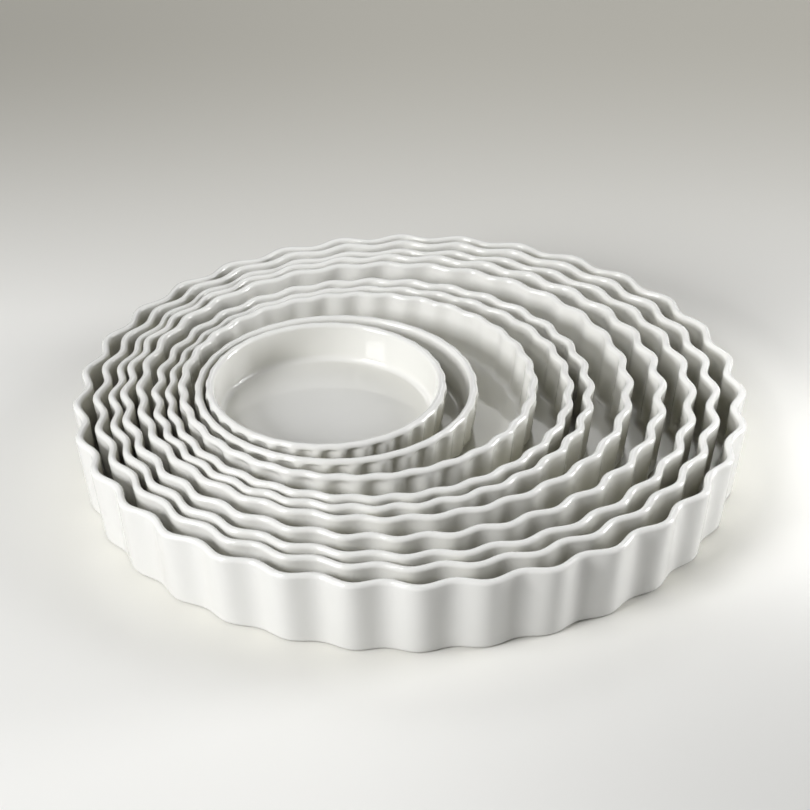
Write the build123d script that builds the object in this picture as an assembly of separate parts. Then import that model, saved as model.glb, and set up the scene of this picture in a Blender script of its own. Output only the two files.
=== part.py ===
from build123d import *
import os
from math import cos, pi, radians, sin, tan

# A nest of ten fluted porcelain quiche dishes, each standing inside the next larger one.
# Origin: centre of the largest dish's foot, on the table. +Z is up and -Y faces the viewer.
# Every list below runs from the largest dish to the smallest. Millimetres and degrees.

# What all the dishes share: the wall's thickness is measured level, its lean from upright
FLUTES = 32
WALL = 4.2
WALL_LEAN_DEG = 7.7
FLOOR = 3.5
COVE = 3.5
FOOT_RING = 9.0
RECESS_DEPTH = 0.8
SHOULDER_DROP = 8.0

# A foot's outside rounding: small on the table, and wider than the cove where it stands in one
TABLE_FOOT_ROUND = 2.0
NESTED_FOOT_EASE = 0.8

# The slope at which that rounding leaves the flat foot ring, so that nothing dips below it
FOOT_BREAK_DEG = 8.0

# The largest dish's foot, from its centre to the middle of its flutes
LARGEST_FOOT_RADIUS = 163.0

# Each dish by its nominal width in centimetres, and its height
NOMINAL_CM = [34, 32, 30, 28, 25, 23, 21, 18, 14, 12]
HEIGHTS = [42.0, 40.5, 38.5, 37.0, 34.5, 31.5, 29.0, 28.5, 25.0, 23.0]

# Depth of the flutes from their middle to a crest, outside: at the rim, under it, at the foot
RIM_FLUTES = [2.5, 2.1, 1.8, 1.8, 1.3, 1.3, 0.9, 0.6, 0.3, 0.3]
SHOULDER_FLUTES = [2.3, 2.0, 1.7, 1.7, 1.4, 1.3, 1.1, 1.1, 0.9, 0.8]
FOOT_FLUTES = [1.8, 1.6, 1.4, 1.4, 1.2, 1.1, 1.0, 0.9, 0.7, 0.6]

# Depth of the same flutes inside, at the rim and at the floor: the two smallest are smooth there
RIM_BORE_FLUTES = [2.5, 2.1, 1.8, 1.8, 1.2, 1.2, 0.8, 0.4, 0.0, 0.0]
FLOOR_BORE_FLUTES = [1.8, 1.5, 1.3, 1.3, 0.9, 0.9, 0.6, 0.3, 0.0, 0.0]

# The direction of one crest of each dish, which says how far the dish is turned
CREST_TURNS_DEG = [-99.9, -100.7, -101.0, -100.3, -101.0, -100.5, -99.9, -100.6, -93.0, -93.0]

# Room all round between each dish and the next smaller one, when both are on one centre
SIDE_ROOMS = [7.2, 5.8, 6.6, 7.8, 9.8, 4.4, 8.5, 14.9, 6.6]

# How much of that room the smaller dish has slid off centre, and which way
SLID_SHARES = [0.21, 0.49, 0.72, 0.66, 0.77, 0.51, 0.71, 0.8, 0.79]
SLID_TURNS_DEG = [155, 223, 163, 152, 220, 218, 169, 204, 174]

# Points that draw one flute, and the steps that draw each rounded edge
POINTS_PER_FLUTE = 4
EDGE_STEPS = 3
RIM_STEPS = 6

LEAN = radians(WALL_LEAN_DEG)
FOOT_BREAK = radians(FOOT_BREAK_DEG)
RIM_ROUND = WALL * cos(LEAN) / 2


def ring(radius, depth, turn, height):
    """A fluted line round a dish, level, with one crest towards turn."""
    count = FLUTES * POINTS_PER_FLUTE
    points = []
    for step in range(count):
        angle = 2 * pi * step / count
        reach = radius + depth * cos(FLUTES * (angle - radians(turn)))
        points.append(Vector(reach * cos(angle), reach * sin(angle), height))
    return Wire([Edge.make_spline(points, periodic=True)])


def round_edge(radius, height, bend, start, end, steps, depths, turn):
    """Rings along a rounded edge: its centre, its bend, and its first and last slope."""
    rings = []
    for step in range(steps + 1):
        share = step / steps
        slope = start + (end - start) * share
        depth = depths[0] + (depths[1] - depths[0]) * share
        rings.append(ring(radius + bend * cos(slope), depth, turn, height + bend * sin(slope)))
    return rings


def outside_radius(foot_radius, height):
    """The wall's outside, in the middle of its flutes, at a height above the foot."""
    return foot_radius + tan(LEAN) * height


def bore_radius(foot_radius, height):
    return outside_radius(foot_radius, height) - WALL


def foot_round(index):
    return COVE + NESTED_FOOT_EASE if index else TABLE_FOOT_ROUND


def foot_rings(index, foot_radius):
    """From the flat foot round its outside edge to the wall."""
    bend = foot_round(index)
    height = bend * cos(FOOT_BREAK)
    centre = outside_radius(foot_radius, height) - bend / cos(LEAN)
    depths = (FOOT_FLUTES[index], FOOT_FLUTES[index])
    return round_edge(centre, height, bend, FOOT_BREAK - pi / 2, -LEAN, EDGE_STEPS, depths,
                      CREST_TURNS_DEG[index])


def rim_rings(index, foot_radius):
    """From the wall's outside over the half round rim to the bore."""
    height = HEIGHTS[index] - RIM_ROUND
    centre = outside_radius(foot_radius, height) - WALL / 2
    depths = (RIM_FLUTES[index], RIM_BORE_FLUTES[index])
    return round_edge(centre, height, RIM_ROUND, -LEAN, pi - LEAN, RIM_STEPS, depths,
                      CREST_TURNS_DEG[index])


def cove_rings(index, foot_radius):
    """From the bore down round the cove to the flat floor."""
    height = FLOOR + COVE
    centre = bore_radius(foot_radius, height) - COVE / cos(LEAN)
    depths = (FLOOR_BORE_FLUTES[index], FLOOR_BORE_FLUTES[index])
    return round_edge(centre, height, COVE, -LEAN, -pi / 2, EDGE_STEPS, depths,
                      CREST_TURNS_DEG[index])


def shoulder_ring(index, foot_radius):
    height = HEIGHTS[index] - SHOULDER_DROP
    return ring(outside_radius(foot_radius, height), SHOULDER_FLUTES[index],
                CREST_TURNS_DEG[index], height)


def foot_faces(contact, radius):
    """The flat foot ring on which a dish stands, and the recess inside it."""
    mouth = Wire([Edge.make_circle(radius)])
    roof = Wire([Edge.make_circle(radius, Plane.XY.offset(RECESS_DEPTH))])
    side = Shell.make_loft([mouth, roof], ruled=True)
    return [Face(contact, [mouth]), *side.faces(), Face(roof)]


def dish(index, foot_radius):
    """One dish on its own centre, standing at height zero."""
    foot = foot_rings(index, foot_radius)
    rim = rim_rings(index, foot_radius)
    cove = cove_rings(index, foot_radius)
    shells = [
        Shell.make_loft(foot),
        Shell.make_loft([foot[-1], shoulder_ring(index, foot_radius), rim[0]]),
        Shell.make_loft(rim),
        Shell.make_loft([rim[-1], cove[0]], ruled=True),
        Shell.make_loft(cove),
    ]
    faces = foot_faces(foot[0], foot_radius - foot_round(index) - FOOT_RING)
    for shell in shells:
        faces.extend(shell.faces())
    faces.append(Face(cove[-1]))
    return Solid(Shell(faces))


def foot_radii():
    """Each dish's foot follows the floor that it stands on and the room round it."""
    radii = [LARGEST_FOOT_RADIUS]
    for room in SIDE_ROOMS:
        radii.append(bore_radius(radii[-1], FLOOR) - room)
    return radii


def places():
    """Each dish stands on the floor of the next larger one, slid some of the way to its wall."""
    spots = [Vector(0, 0, 0)]
    for room, share, turn in zip(SIDE_ROOMS, SLID_SHARES, SLID_TURNS_DEG):
        slide = room * share
        step = Vector(slide * cos(radians(turn)), slide * sin(radians(turn)), FLOOR)
        spots.append(spots[-1] + step)
    return spots


os.makedirs("parts", exist_ok=True)
for index, (foot_radius, spot) in enumerate(zip(foot_radii(), places())):
    solid = Pos(spot) * dish(index, foot_radius)
    export_step(solid, f"parts/quiche_dish_{NOMINAL_CM[index]}cm.step")
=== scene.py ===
from math import cos, pi, radians, sin, tan

import bpy
import numpy as np
from mathutils import Matrix, Vector


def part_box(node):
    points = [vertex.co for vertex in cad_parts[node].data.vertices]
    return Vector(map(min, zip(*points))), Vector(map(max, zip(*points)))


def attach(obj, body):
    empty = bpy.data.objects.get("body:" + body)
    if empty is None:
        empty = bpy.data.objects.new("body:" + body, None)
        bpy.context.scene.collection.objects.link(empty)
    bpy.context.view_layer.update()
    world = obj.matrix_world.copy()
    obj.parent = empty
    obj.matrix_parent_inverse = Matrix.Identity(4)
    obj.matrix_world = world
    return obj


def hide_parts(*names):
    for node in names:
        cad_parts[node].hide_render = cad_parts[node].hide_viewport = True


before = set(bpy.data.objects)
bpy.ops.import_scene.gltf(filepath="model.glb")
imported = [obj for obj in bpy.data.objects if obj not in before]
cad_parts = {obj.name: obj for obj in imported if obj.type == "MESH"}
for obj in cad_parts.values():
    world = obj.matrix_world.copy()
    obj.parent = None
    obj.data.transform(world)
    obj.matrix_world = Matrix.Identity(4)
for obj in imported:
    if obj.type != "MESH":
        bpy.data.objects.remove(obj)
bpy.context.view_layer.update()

# A nest of ten fluted porcelain quiche dishes. The dishes, the floor's plane and the camera are
# given in millimetres, which MM turns into metres, and the lamps and the floor's painted light and
# shade in metres.
# Lists of dishes run from the largest to the smallest.
MM = 0.001

# What all the dishes share: the wall's thickness is measured level, its lean from upright
FLUTES = 32
WALL = 4.2
LEAN = radians(7.7)
RIM_ROUND = WALL * cos(LEAN) / 2
FLOOR = 3.5
COVE = 3.5

# The flat foot ring, and the shallow recess inside it with its small edge roundings
LARGEST_FOOT_RADIUS = 163.0
FOOT_RING = 9.0
RECESS_DEPTH = 0.8
RECESS_BEND = 0.3

# A foot's outside rounding: small on the table, and wider than the cove where it stands in one
TABLE_FOOT_ROUND = 2.0
NESTED_FOOT_EASE = 0.8

# The slope at which that rounding leaves the flat foot ring
FOOT_BREAK = radians(8.0)

# Keeps a drawn foot from lying in the very plane of the floor below it
FOOT_GAP = 0.02

# Each dish by its nominal width in centimetres, and the direction of one of its crests
NOMINAL_CM = [34, 32, 30, 28, 25, 23, 21, 18, 14, 12]
CREST_TURNS_DEG = [-99.9, -100.7, -101.0, -100.3, -101.0, -100.5, -99.9, -100.6, -93.0, -93.0]

# Room all round between each dish and the next smaller one, when both are on one centre
SIDE_ROOMS = [7.2, 5.8, 6.6, 7.8, 9.8, 4.4, 8.5, 14.9, 6.6]

# Depth of the flutes from their middle to a crest, outside: at the rim, under it, at the foot
RIM_FLUTES = [2.5, 2.1, 1.8, 1.8, 1.3, 1.3, 0.9, 0.6, 0.3, 0.3]
SHOULDER_FLUTES = [2.3, 2.0, 1.7, 1.7, 1.4, 1.3, 1.1, 1.1, 0.9, 0.8]
FOOT_FLUTES = [1.8, 1.6, 1.4, 1.4, 1.2, 1.1, 1.0, 0.9, 0.7, 0.6]

# Depth of the same flutes inside, at the rim and at the floor
RIM_BORE_FLUTES = [2.5, 2.1, 1.8, 1.8, 1.3, 1.3, 1.0, 0.8, 0.0, 0.0]
FLOOR_BORE_FLUTES = [1.8, 1.5, 1.3, 1.3, 1.0, 1.0, 0.8, 0.6, 0.0, 0.0]

# How far below a dish's top its flutes pass from those of the wall to those of the rim
SHOULDER_DROPS = [8.0, 8.0, 8.0, 8.0, 8.0, 7.0, 6.0, 5.0, 4.0, 4.0]

# How much further in the valleys go than an even wave would, on the small dishes
VALLEY_DEPTHS = [0.0, 0.0, 0.0, 0.0, 0.0, 0.2, 0.3, 0.6, 0.8, 0.8]

# Firing draws the wall in by up to twice WARP at the rim, in an oval and a three-cornered wave
WARP = 0.12
OVAL_SHARE = 0.6
THREE_CORNERED_SHARE = 0.4

# It also leaves the flutes a little shallower, more so in some places, in two waves round a dish
FLUTE_DEPTH_SHARE = 0.94
FLUTE_STRAY_SHARE = 0.03
FLUTE_STRAY_WAVES = (7, 11)

# What sets the phase of each dish's waves apart from the next larger one's, in radians
FIRING_PHASE = 1.7

# How finely the meshes are drawn, and the rows across a floor as shares of its radius
POINTS_PER_FLUTE = 12
OUTSIDE_STEPS = 24
BORE_STEPS = 12
ROUND_STEPS = 8
RIM_STEPS = 14
FLOOR_SHARES = [0.97, 0.85, 0.6, 0.3, 0.08]

# The place of each material in a dish's own list
GLAZE_SLOT = 0
FOOT_SLOT = 1


def node_name(index):
    return f"quiche_dish_{NOMINAL_CM[index]}cm"


def body_name(index):
    return f"dish_{NOMINAL_CM[index]}cm"


def new_object(name, data):
    thing = bpy.data.objects.new(name, data)
    bpy.context.scene.collection.objects.link(thing)
    return thing


def outside_radius(foot_radius, height):
    """The wall's outside, in the middle of its flutes, at a height above the foot."""
    return foot_radius + tan(LEAN) * height


def bore_radius(foot_radius, height):
    return outside_radius(foot_radius, height) - WALL


def foot_radii():
    """Each dish's foot follows the floor that it stands on and the room round it."""
    radii = [LARGEST_FOOT_RADIUS]
    for room in SIDE_ROOMS:
        radii.append(bore_radius(radii[-1], FLOOR) - room)
    return radii


def foot_round(index):
    return COVE + NESTED_FOOT_EASE if index else TABLE_FOOT_ROUND


def between(first, last, share):
    return first + (last - first) * share


def ease(share):
    """0 to 1 with a level start and end."""
    return share * share * (3 - 2 * share)


# A dish's profile is a list of rows, each with its radius in the middle of the flutes, its height
# above the foot and the depth of its flutes. The rows run from the centre of the recess underneath,
# out and up the outside, over the rim and down the inside to the centre of the floor.


def recess_rows(index, foot_radius):
    """From the centre of the recess to the inner edge of the flat foot ring."""
    mouth = foot_radius - foot_round(index) - FOOT_RING
    rows = [(mouth * share, RECESS_DEPTH, 0) for share in reversed(FLOOR_SHARES)]
    rows.append((mouth - RECESS_BEND, RECESS_DEPTH, 0))
    rows.append((mouth, RECESS_DEPTH - RECESS_BEND, 0))
    rows.append((mouth, RECESS_BEND, 0))
    rows.append((mouth + RECESS_BEND, FOOT_GAP, 0))
    rows.append((mouth + RECESS_BEND * 2, FOOT_GAP, 0))
    return rows


def foot_rows(index, foot_radius):
    """From the flat foot ring round its outside edge to the wall."""
    bend = foot_round(index)
    height = bend * cos(FOOT_BREAK)
    centre = outside_radius(foot_radius, height) - bend / cos(LEAN)
    rows = []
    for step in range(ROUND_STEPS + 1):
        slope = between(FOOT_BREAK - pi / 2, -LEAN, step / ROUND_STEPS)
        level = max(height + bend * sin(slope), FOOT_GAP)
        rows.append((centre + bend * cos(slope), level, FOOT_FLUTES[index]))
    return rows


def wall_rows(index, foot_radius, low, high):
    """The outside of the wall, where the flutes deepen from the foot and ease out at the rim."""
    rows = []
    shoulder = high + RIM_ROUND - SHOULDER_DROPS[index]
    for step in range(1, OUTSIDE_STEPS):
        height = between(low, high, step / OUTSIDE_STEPS)
        if height < shoulder:
            share = (height - low) / (shoulder - low)
            depth = between(FOOT_FLUTES[index], SHOULDER_FLUTES[index], share)
            valley = VALLEY_DEPTHS[index] / 2 * ease(share)
        else:
            share = ease((height - shoulder) / (high - shoulder))
            depth = between(SHOULDER_FLUTES[index], RIM_FLUTES[index], share)
            valley = VALLEY_DEPTHS[index] / 2 * (1 - share)
        rows.append((outside_radius(foot_radius, height) - valley, height, depth + valley))
    return rows


def rim_rows(index, foot_radius, high):
    """From the wall's outside over the half round rim to the bore."""
    centre = outside_radius(foot_radius, high) - WALL / 2
    rows = []
    for step in range(RIM_STEPS + 1):
        share = step / RIM_STEPS
        slope = pi * share - LEAN
        depth = between(RIM_FLUTES[index], RIM_BORE_FLUTES[index], share)
        rows.append((centre + RIM_ROUND * cos(slope), high + RIM_ROUND * sin(slope), depth))
    return rows


def bore_rows(index, foot_radius, high):
    """Down the inside of the wall, round the cove and over the floor to its centre."""
    low = FLOOR + COVE
    rows = []
    for step in range(1, BORE_STEPS):
        share = step / BORE_STEPS
        height = between(high, low, share)
        depth = between(RIM_BORE_FLUTES[index], FLOOR_BORE_FLUTES[index], share)
        rows.append((bore_radius(foot_radius, height), height, depth))
    centre = bore_radius(foot_radius, low) - COVE / cos(LEAN)
    for step in range(ROUND_STEPS + 1):
        slope = between(-LEAN, -pi / 2, step / ROUND_STEPS)
        rows.append((centre + COVE * cos(slope), low + COVE * sin(slope), FLOOR_BORE_FLUTES[index]))
    rows.extend((centre * share, FLOOR, 0) for share in FLOOR_SHARES)
    return rows


def ring_points(row, index, height_share, angles):
    """One row of the profile carried round the dish, a little out of true towards the rim."""
    radius, height, depth = row
    waves = np.cos(FLUTES * (angles - radians(CREST_TURNS_DEG[index])))
    phase = index * FIRING_PHASE
    oval = np.cos(2 * angles + phase)
    three_cornered = np.cos(3 * angles - 2 * phase)
    stray = OVAL_SHARE * oval + THREE_CORNERED_SHARE * three_cornered
    first, second = FLUTE_STRAY_WAVES
    uneven = np.cos(first * angles + phase) + np.cos(second * angles - phase)
    full = FLUTE_DEPTH_SHARE + FLUTE_STRAY_SHARE * uneven
    reach = radius + depth * waves * full + WARP * height_share * (stray - 1)
    return np.stack([reach * np.cos(angles), reach * np.sin(angles), np.full_like(angles, height)], 1)


def skin_faces(ring_count, count):
    """Faces between the rings, then one fan under the dish and one on its floor."""
    here = np.arange(count)
    after = (here + 1) % count
    quads = []
    for ring in range(ring_count - 1):
        lower, upper = ring * count, (ring + 1) * count
        quads.append(np.stack([lower + here, lower + after, upper + after, upper + here], 1))
    faces = np.concatenate(quads).tolist()
    last = (ring_count - 1) * count
    under = ring_count * count
    floor = under + 1
    faces += [[under, after[i], here[i]] for i in range(count)]
    faces += [[floor, last + here[i], last + after[i]] for i in range(count)]
    return faces


def dish_mesh(index, foot_radius, place, dish_height):
    """The mesh of one dish, in metres in the nest's frame, its flat foot ring left unglazed."""
    high = dish_height - RIM_ROUND
    recess = recess_rows(index, foot_radius)
    foot = foot_rows(index, foot_radius)
    rows = recess + foot + wall_rows(index, foot_radius, foot[-1][1], high)
    rows += rim_rows(index, foot_radius, high) + bore_rows(index, foot_radius, high)
    count = FLUTES * POINTS_PER_FLUTE
    angles = np.arange(count) * 2 * pi / count
    rings = [ring_points(row, index, row[1] / dish_height, angles) for row in rows]
    points = np.concatenate(rings + [[[0, 0, RECESS_DEPTH]], [[0, 0, FLOOR]]])
    mesh = bpy.data.meshes.new(node_name(index) + "_glazed")
    mesh.from_pydata((points * MM + np.array(place)).tolist(), [], skin_faces(len(rows), count))
    mesh.polygons.foreach_set("use_smooth", [True] * len(mesh.polygons))
    contact = (len(recess) - 1) * count
    slots = np.full(len(mesh.polygons), GLAZE_SLOT, dtype=np.int32)
    slots[contact:contact + count] = FOOT_SLOT
    mesh.polygons.foreach_set("material_index", slots)
    mesh.validate()
    mesh.update()
    return mesh


# White glazed porcelain: faint clouds of two whites that also vary its gloss, and a faint ripple
GLAZE_WHITES = [(0.80, 0.80, 0.785, 1), (0.83, 0.83, 0.82, 1)]
GLAZE_ROUGHNESS = (0.07, 0.11)
GLAZE_IOR = 1.5
GLAZE_CLOUDS = {"Scale": 14.0, "Detail": 4.0, "Roughness": 0.6}
GLAZE_CLOUD_ENDS = (0.3, 0.7)
GLAZE_RIPPLES = {"Scale": 60.0, "Detail": 2.0, "Roughness": 0.4}
GLAZE_BUMP = {"Strength": 0.25, "Distance": 0.0002}

# The bare foot: the same body, dry and finely grained
FOOT_WHITES = [(0.66, 0.64, 0.60, 1), (0.76, 0.74, 0.70, 1)]
FOOT_ROUGHNESS = 0.85
FOOT_GRAIN = {"Scale": 900.0, "Detail": 3.0}
FOOT_BUMP = {"Strength": 0.4, "Distance": 0.0001}

# The photograph's tones are steeper than plain light gives, so porcelain and floor throw less
GLAZE_BOUNCE = (0.50, 0.485, 0.385, 1)
FLOOR_BOUNCE = (0.50, 0.495, 0.475, 1)


def new_material(name):
    """A new material, with its node tree and its shader."""
    material = bpy.data.materials.new(name)
    material.use_nodes = True
    return material, material.node_tree, material.node_tree.nodes["Principled BSDF"]


def add(tree, kind, **values):
    """A new node with some inputs set, each by its name with _ for a space."""
    node = tree.nodes.new(kind)
    for name, value in values.items():
        node.inputs[name.replace("_", " ")].default_value = value
    return node


def object_place(tree):
    """Each point's own place in metres, which stays with the piece as it moves."""
    return tree.nodes.new("ShaderNodeTexCoord").outputs["Object"]


def ray_is(tree, kind):
    return tree.nodes.new("ShaderNodeLightPath").outputs[f"Is {kind} Ray"]


def noise(tree, place, looks):
    node = add(tree, "ShaderNodeTexNoise", **looks)
    tree.links.new(place, node.inputs["Vector"])
    return node.outputs["Fac"]


def bump(tree, height, looks):
    node = add(tree, "ShaderNodeBump", **looks)
    tree.links.new(height, node.inputs["Height"])
    return node.outputs["Normal"]


def ramp(tree, value, colours, ends=(0.0, 1.0)):
    """A colour that runs from the first to the second as value goes from one end to the other."""
    node = tree.nodes.new("ShaderNodeValToRGB")
    for element, colour, end in zip(node.color_ramp.elements, colours, ends):
        element.position = end
        element.color = colour
    tree.links.new(value, node.inputs["Fac"])
    return node.outputs["Color"]


def ranged(tree, value, ends, results, run="LINEAR"):
    """A number that runs from the first result to the second as value goes between its ends."""
    node = add(tree, "ShaderNodeMapRange", From_Min=ends[0], From_Max=ends[1],
               To_Min=results[0], To_Max=results[1])
    node.interpolation_type = run
    tree.links.new(value, node.inputs["Value"])
    return node.outputs["Result"]


def fade(tree, value, ends, results):
    """The same with a level start and end."""
    return ranged(tree, value, ends, results, "SMOOTHSTEP")


def mixed(tree, share, colour, plain):
    """A colour that gives way to a plain one as share goes from 0 to 1."""
    mix = tree.nodes.new("ShaderNodeMix")
    mix.data_type = "RGBA"
    first, second = (socket for socket in mix.inputs if socket.type == "RGBA")
    second.default_value = plain
    tree.links.new(share, mix.inputs["Factor"])
    tree.links.new(colour, first)
    return next(socket for socket in mix.outputs if socket.type == "RGBA")


def held_bounce(tree, colour, thrown):
    """The colour as seen, and a darker one for the light thrown on the neighbours."""
    return mixed(tree, ray_is(tree, "Diffuse"), colour, thrown)


def glazed_porcelain():
    material, tree, shader = new_material("glazed_porcelain")
    place = object_place(tree)
    clouds = noise(tree, place, GLAZE_CLOUDS)
    whites = ramp(tree, clouds, GLAZE_WHITES, GLAZE_CLOUD_ENDS)
    gloss = ranged(tree, clouds, GLAZE_CLOUD_ENDS, GLAZE_ROUGHNESS)
    ripples = bump(tree, noise(tree, place, GLAZE_RIPPLES), GLAZE_BUMP)
    tree.links.new(held_bounce(tree, whites, GLAZE_BOUNCE), shader.inputs["Base Color"])
    tree.links.new(gloss, shader.inputs["Roughness"])
    tree.links.new(ripples, shader.inputs["Normal"])
    shader.inputs["IOR"].default_value = GLAZE_IOR
    return material


def unglazed_foot():
    material, tree, shader = new_material("unglazed_foot")
    grain = noise(tree, object_place(tree), FOOT_GRAIN)
    tree.links.new(ramp(tree, grain, FOOT_WHITES), shader.inputs["Base Color"])
    tree.links.new(bump(tree, grain, FOOT_BUMP), shader.inputs["Normal"])
    shader.inputs["Roughness"].default_value = FOOT_ROUGHNESS
    return material


def make_dishes():
    """Each drawn dish stands where its CAD node does, and rides on that node's body."""
    glaze, foot = glazed_porcelain(), unglazed_foot()
    for index, foot_radius in enumerate(foot_radii()):
        low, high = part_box(node_name(index))
        place = ((low[0] + high[0]) / 2, (low[1] + high[1]) / 2, low[2])
        mesh = dish_mesh(index, foot_radius, place, (high[2] - low[2]) / MM)
        mesh.materials.append(glaze)
        mesh.materials.append(foot)
        dish = new_object(f"glazed_dish_{NOMINAL_CM[index]}cm", mesh)
        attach(dish, body_name(index))
        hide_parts(node_name(index))


# The floor's plane, a hair below the lowest foot, runs on as a low backdrop far behind
FLOOR_HALF = 6000.0
FLOOR_DROP = 0.05

# Its own pale colours near the nest, with faint wide clouds, and its dull finish
FLOOR_WHITES = [(0.84, 0.837, 0.82, 1), (0.87, 0.867, 0.855, 1)]
FLOOR_CLOUDS = {"Scale": 3.0, "Detail": 3.0}
FLOOR_ROUGHNESS = 0.40
FLOOR_SPECULAR = 0.2

# Its painted shade: the darker colour painted on it far behind, and between which two places behind
# the nest's centre that takes over
FAR_SHADE_AND_GLOW_COLOUR = (0.53, 0.515, 0.468, 1)
PAINTED_SHADE_BETWEEN = (0.04, 0.52)

# Its painted pools of light and painted shade: the place of each, how far it reaches, and its share
# of the floor's colour
PAINTED_FLOOR_LIGHT_AND_SHADE = [
    ((0.19, 0.01, 0.0), 0.16, 1.13),
    ((-0.10, -0.18, 0.0), 0.20, 1.06),
    ((-0.24, 0.0, 0.0), 0.25, 1.10),
    ((-0.35, 0.50, 0.0), 0.40, 0.82),
    ((0.18, -0.30, 0.0), 0.24, 0.82),
]

# Where no lamp reaches: the distances from the nest's centre between which it takes on a glow
NEST_CENTRE = (0.0, 0.0, 0.0)
FAR_BETWEEN = (0.55, 2.2)
FAR_GLOW = 1.2


def product(tree, first, second):
    node = tree.nodes.new("ShaderNodeMath")
    node.operation = "MULTIPLY"
    tree.links.new(first, node.inputs[0])
    tree.links.new(second, node.inputs[1])
    return node.outputs["Value"]


def scaled(tree, colour, share):
    node = tree.nodes.new("ShaderNodeVectorMath")
    node.operation = "SCALE"
    tree.links.new(colour, node.inputs[0])
    tree.links.new(share, node.inputs["Scale"])
    return node.outputs["Vector"]


def distance(tree, place, spot):
    node = tree.nodes.new("ShaderNodeVectorMath")
    node.operation = "DISTANCE"
    node.inputs[1].default_value = spot
    tree.links.new(place, node.inputs[0])
    return node.outputs["Value"]


def painted_shade_behind(tree, place, near):
    """The floor's near colour, which gives way to a darker painted shade behind the nest."""
    axes = tree.nodes.new("ShaderNodeSeparateXYZ")
    tree.links.new(place, axes.inputs["Vector"])
    return mixed(tree, fade(tree, axes.outputs["Y"], PAINTED_SHADE_BETWEEN, (0.0, 1.0)), near, FAR_SHADE_AND_GLOW_COLOUR)


def painted_light_and_shade_share(tree, place):
    """The product of all the painted pools of light and painted shade at each place on the floor."""
    shares = []
    for spot, reach, most in PAINTED_FLOOR_LIGHT_AND_SHADE:
        shares.append(fade(tree, distance(tree, place, spot), (0.0, reach), (most, 1.0)))
    share = shares[0]
    for other in shares[1:]:
        share = product(tree, share, other)
    return share


def far_glow(tree, place):
    """Seen by the camera alone, so the far floor shows pale and lights nothing."""
    glow = fade(tree, distance(tree, place, NEST_CENTRE), FAR_BETWEEN, (0.0, FAR_GLOW))
    return product(tree, glow, ray_is(tree, "Camera"))


def pale_floor():
    material, tree, shader = new_material("pale_floor")
    place = object_place(tree)
    near = ramp(tree, noise(tree, place, FLOOR_CLOUDS), FLOOR_WHITES)
    # The floor's colour, with its painted shade behind the nest and its painted pools of light and
    # shade
    seen = scaled(tree, painted_shade_behind(tree, place, near), painted_light_and_shade_share(tree, place))
    tree.links.new(held_bounce(tree, seen, FLOOR_BOUNCE), shader.inputs["Base Color"])
    tree.links.new(far_glow(tree, place), shader.inputs["Emission Strength"])
    shader.inputs["Emission Color"].default_value = FAR_SHADE_AND_GLOW_COLOUR
    shader.inputs["Roughness"].default_value = FLOOR_ROUGHNESS
    shader.inputs["Specular IOR Level"].default_value = FLOOR_SPECULAR
    return material


def make_floor():
    half, level = FLOOR_HALF * MM, -FLOOR_DROP * MM
    corners = [(-half, -half, level), (half, -half, level), (half, half, level), (-half, half, level)]
    mesh = bpy.data.meshes.new("floor")
    mesh.from_pydata(corners, [], [(0, 1, 2, 3)])
    mesh.materials.append(pale_floor())
    new_object("floor", mesh)


# The photograph's camera, found from its ten rims: the picture is square
PICTURE_SIDE = 810
CAMERA_DISTANCE = 1730.0
CAMERA_DOWN_DEG = 31.666
CAMERA_SIDE = -2.3
CAMERA_AIM_HEIGHT = 42.0
CAMERA_ROLL_DEG = -0.444
CAMERA_FOCAL_PX = 3413.8
HORIZON_PX = 395.2
SENSOR_MM = 36.0


def make_camera():
    data = bpy.data.cameras.new("camera")
    data.sensor_width = SENSOR_MM
    data.lens = SENSOR_MM * CAMERA_FOCAL_PX / PICTURE_SIDE
    data.shift_y = (HORIZON_PX - PICTURE_SIDE / 2) / PICTURE_SIDE
    camera = new_object("camera", data)
    down = radians(CAMERA_DOWN_DEG)
    camera.location = Vector((
        CAMERA_SIDE,
        -CAMERA_DISTANCE * cos(down),
        CAMERA_AIM_HEIGHT + CAMERA_DISTANCE * sin(down),
    )) * MM
    tilt = Matrix.Rotation(pi / 2 - down, 4, "X")
    roll = Matrix.Rotation(radians(CAMERA_ROLL_DEG), 4, "Z")
    camera.rotation_euler = (tilt @ roll).to_euler()
    bpy.context.scene.camera = camera


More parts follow.
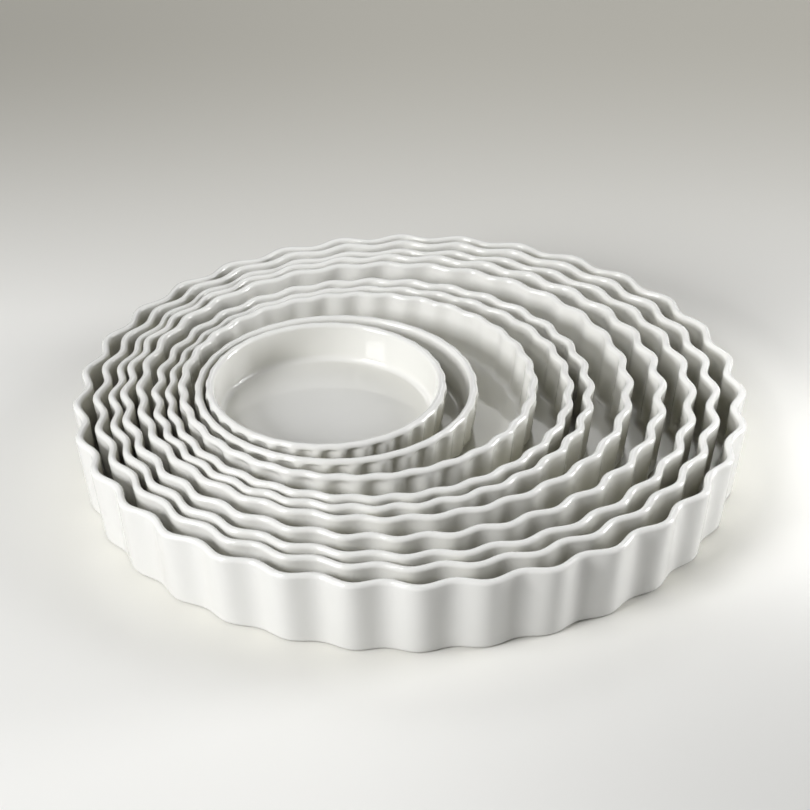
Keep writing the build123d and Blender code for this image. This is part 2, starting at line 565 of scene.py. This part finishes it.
# Soft lamps all round: name, direction round the nest, height above the level, both in degrees,
# side of the square and watts. Direction 0 is to the right, 90 behind and 270 towards the viewer.
LAMPS = [
    ("right_low_softbox", 14, 9, 0.7, 44.0),
    ("right_softbox", 10, 28, 1.2, 23.0),
    ("left_front_key", 218, 24, 0.9, 56.0),
    ("left_front_spark", 232, 45, 0.12, 4.0),
    ("left_high_softbox", 204, 56, 1.0, 15.0),
    ("front_fill", 280, 22, 0.7, 3.0),
    ("back_softbox", 80, 38, 0.7, 4.0),
    ("back_left_softbox", 120, 38, 0.7, 4.0),
    ("top_softbox", 0, 89, 1.2, 2.0),
]
LAMP_DISTANCE = 2.6
LAMP_AIM = Vector((0, 0, 0.03))
LAMP_COLOUR = (1.0, 1.0, 0.99)

# A narrow lamp over the floor to the right of the nest, where the photograph is brightest
SPOT_PLACE = Vector((0.36, 0.0, 0.9))
SPOT_AIM = Vector((0.255, 0.0, 0.0))
SPOT_WATTS = 18.0
SPOT_ANGLE = radians(19)
SPOT_BLEND = 1.0
SPOT_SOFT_SIZE = 0.08

# Hardly any light from the world, and a pale backdrop where the camera sees past the floor
WORLD_COLOUR = (0.62, 0.61, 0.585, 1.0)
WORLD_STRENGTH = 0.02
BACKDROP_STRENGTH = 1.0


def new_lamp(name, kind, watts, place, way):
    """A lamp at a place, shining one way."""
    data = bpy.data.lights.new(name, kind)
    data.energy = watts
    data.color = LAMP_COLOUR
    lamp = new_object(name, data)
    lamp.location = place
    lamp.rotation_euler = way.to_track_quat("-Z", "Y").to_euler()
    return data


def make_lamps():
    for name, turn_deg, rise_deg, side, watts in LAMPS:
        turn, rise = radians(turn_deg), radians(rise_deg)
        way = Vector((cos(turn) * cos(rise), sin(turn) * cos(rise), sin(rise)))
        square = new_lamp(name, "AREA", watts, LAMP_AIM + way * LAMP_DISTANCE, -way)
        square.size = side
    spot = new_lamp("right_floor_spot", "SPOT", SPOT_WATTS, SPOT_PLACE, SPOT_AIM - SPOT_PLACE)
    spot.spot_size = SPOT_ANGLE
    spot.spot_blend = SPOT_BLEND
    spot.shadow_soft_size = SPOT_SOFT_SIZE


def make_world():
    world = bpy.data.worlds.new("studio")
    bpy.context.scene.world = world
    world.use_nodes = True
    tree = world.node_tree
    background = tree.nodes["Background"]
    background.inputs["Color"].default_value = WORLD_COLOUR
    strengths = (WORLD_STRENGTH, BACKDROP_STRENGTH)
    strength = ranged(tree, ray_is(tree, "Camera"), (0.0, 1.0), strengths)
    tree.links.new(strength, background.inputs["Strength"])


bpy.context.scene.view_settings.view_transform = "Standard"
make_dishes()
make_floor()
make_camera()
make_lamps()
make_world()
